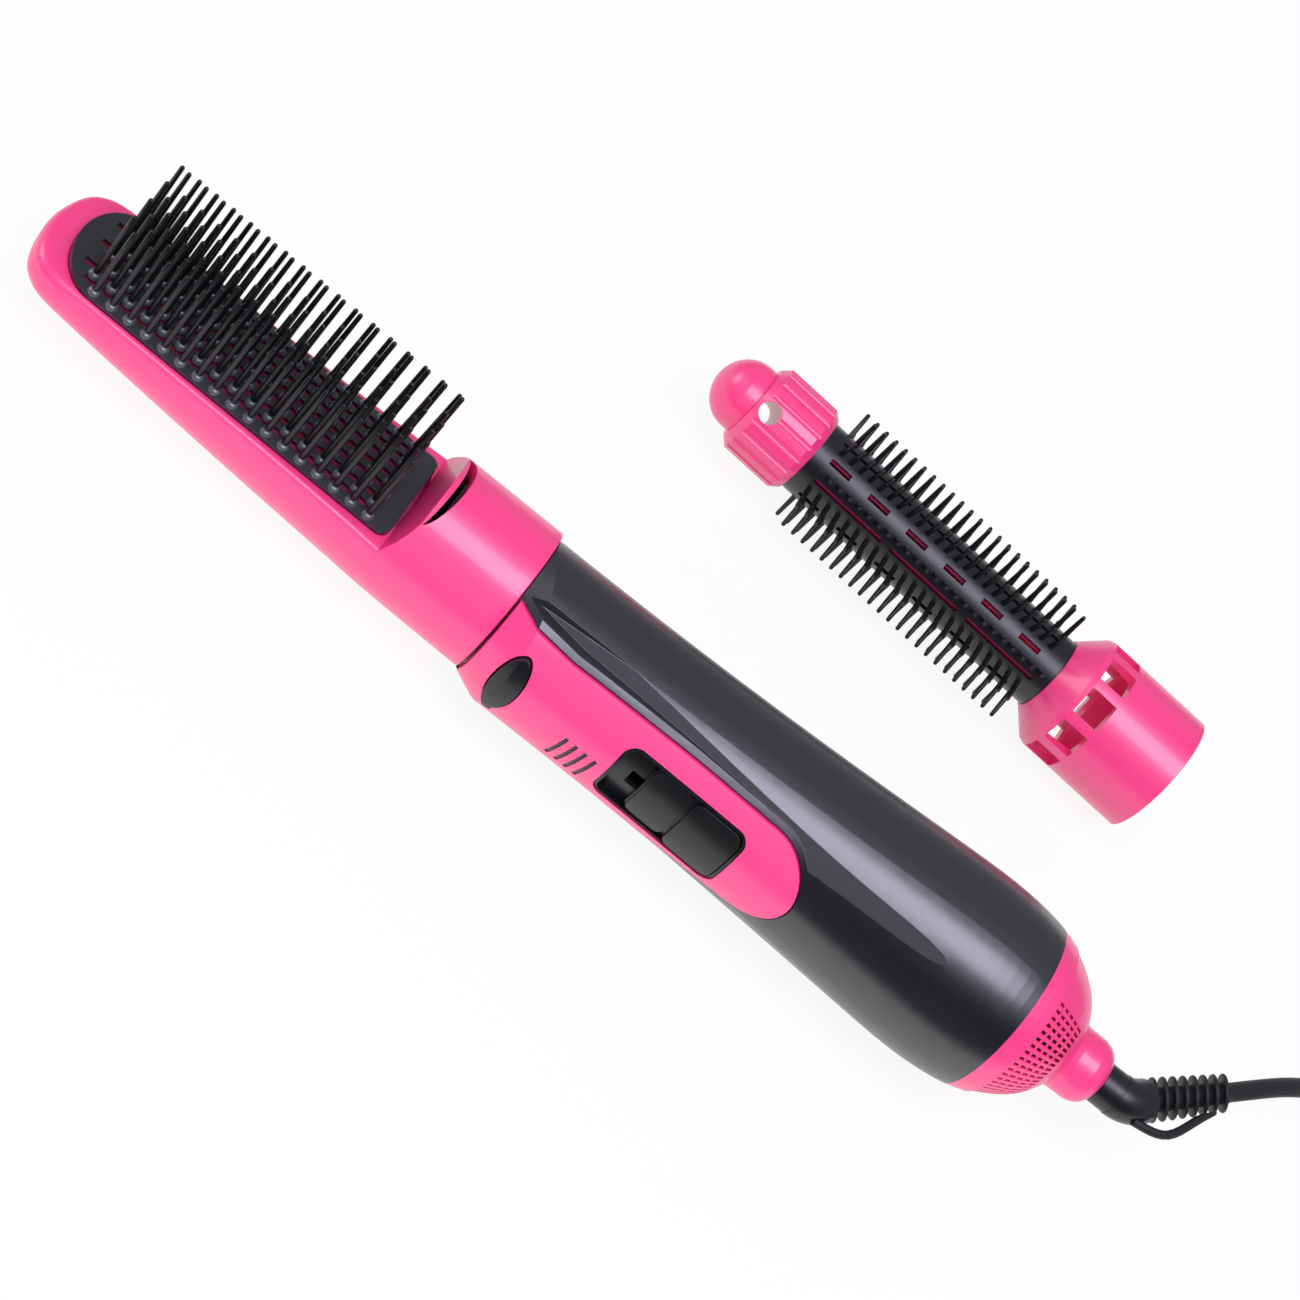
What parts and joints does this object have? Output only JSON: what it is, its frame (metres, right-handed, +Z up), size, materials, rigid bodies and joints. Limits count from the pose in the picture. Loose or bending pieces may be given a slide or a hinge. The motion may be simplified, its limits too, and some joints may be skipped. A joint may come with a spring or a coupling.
{
  "type": "hot air brush",
  "caption": "Hot air styling brush with a waisted handle, slide switch, swivel lead and coiled cord, a pull-off vented comb head, and a spare round brush beside it.",
  "frame": {"origin": "on the table, under the middle of the brush and the spare round brush", "axes": "+X along the brush from the comb tip to the lead, +Z up from the table"},
  "size_m": [0.575, 0.1857, 0.0562],
  "materials": {
    "pink_plastic": "glossy",
    "black_plastic": "satin",
    "bristle_nylon": "smooth",
    "black_pvc": "matt",
    "steel": "plated",
    "mica": "layered",
    "heater_wire": "drawn",
    "copper": "enamelled",
    "ferrite": "ground",
    "ivory_plastic": "moulded",
    "circuit_board": "lacquered"
  },
  "bodies": {
    "handle": {"front_shell": "black_plastic", "back_shell": "black_plastic", "control_panel": "pink_plastic", "shell_screws": "steel", "spigot": "black_plastic", "spigot_ring": "steel", "outlet_grille": "black_plastic", "heater_sleeve": "mica", "heater_boards": "mica", "heater_winding": "heater_wire", "thermal_cutout": "mica", "heater_ring": "mica", "switch_bezel": "black_plastic", "switch_body": "ivory_plastic", "wiring_board": "circuit_board", "motor_mount": "black_plastic", "motor_can": "steel", "motor_magnets": "ferrite", "motor_end_bell": "ivory_plastic", "rear_cap": "pink_plastic", "intake_screen": "steel", "swivel_bush": "ivory_plastic", "cord_tube": "black_pvc", "cord_coil": "black_pvc", "plug_body": "black_pvc", "plug_pins": "steel"},
    "switch": {"switch_knob": "black_plastic"},
    "button": {"release_button": "black_plastic", "latch_arm": "black_plastic"},
    "rotor": {"motor_shaft": "steel", "fan": "black_plastic", "armature": "copper"},
    "swivel": {"swivel_body": "black_plastic", "strain_relief": "black_pvc", "hanging_loop": "black_pvc"},
    "comb": {"comb_sleeve": "pink_plastic", "comb_shell": "pink_plastic", "comb_bed": "pink_plastic", "comb_plate": "black_plastic", "comb_bristles": "bristle_nylon"},
    "round_brush": {"tip_dome": "pink_plastic", "tip_ring": "pink_plastic", "tip_screw": "steel", "round_barrel": "black_plastic", "round_core": "pink_plastic", "round_bristles": "bristle_nylon", "round_socket": "pink_plastic"}
  },
  "joints": [
    {"name": "comb_pull", "type": "slide", "parent": "handle", "child": "comb", "axis": [-0.9995, 0, -0.0328], "range_m": [0, 0.035]},
    {"name": "release_press", "type": "slide", "parent": "handle", "child": "button", "axis": [-0.0187, 0.9973, -0.0704], "range_m": [0, 0.002], "stiffness_N_per_m": 600, "springref_m": -0.0012},
    {"name": "switch_slide", "type": "slide", "parent": "handle", "child": "switch", "axis": [-0.9993, -0.0209, -0.0313], "range_m": [0, 0.008]},
    {"name": "fan_spin", "type": "hinge", "parent": "handle", "child": "rotor", "pos_m": [0.06486, -0.05976, 0.02624], "axis": [0.9993, 0.0209, 0.0313], "continuous": true},
    {"name": "cord_swivel", "type": "hinge", "parent": "handle", "child": "swivel", "pos_m": [0.1548, -0.05788, 0.02906], "axis": [0.9993, 0.0209, 0.0313], "continuous": true},
    {"name": "round_brush_lift", "type": "slide", "parent": "handle", "child": "round_brush", "axis": [0, 0, 1], "range_m": [0, 0.1]}
  ]
}
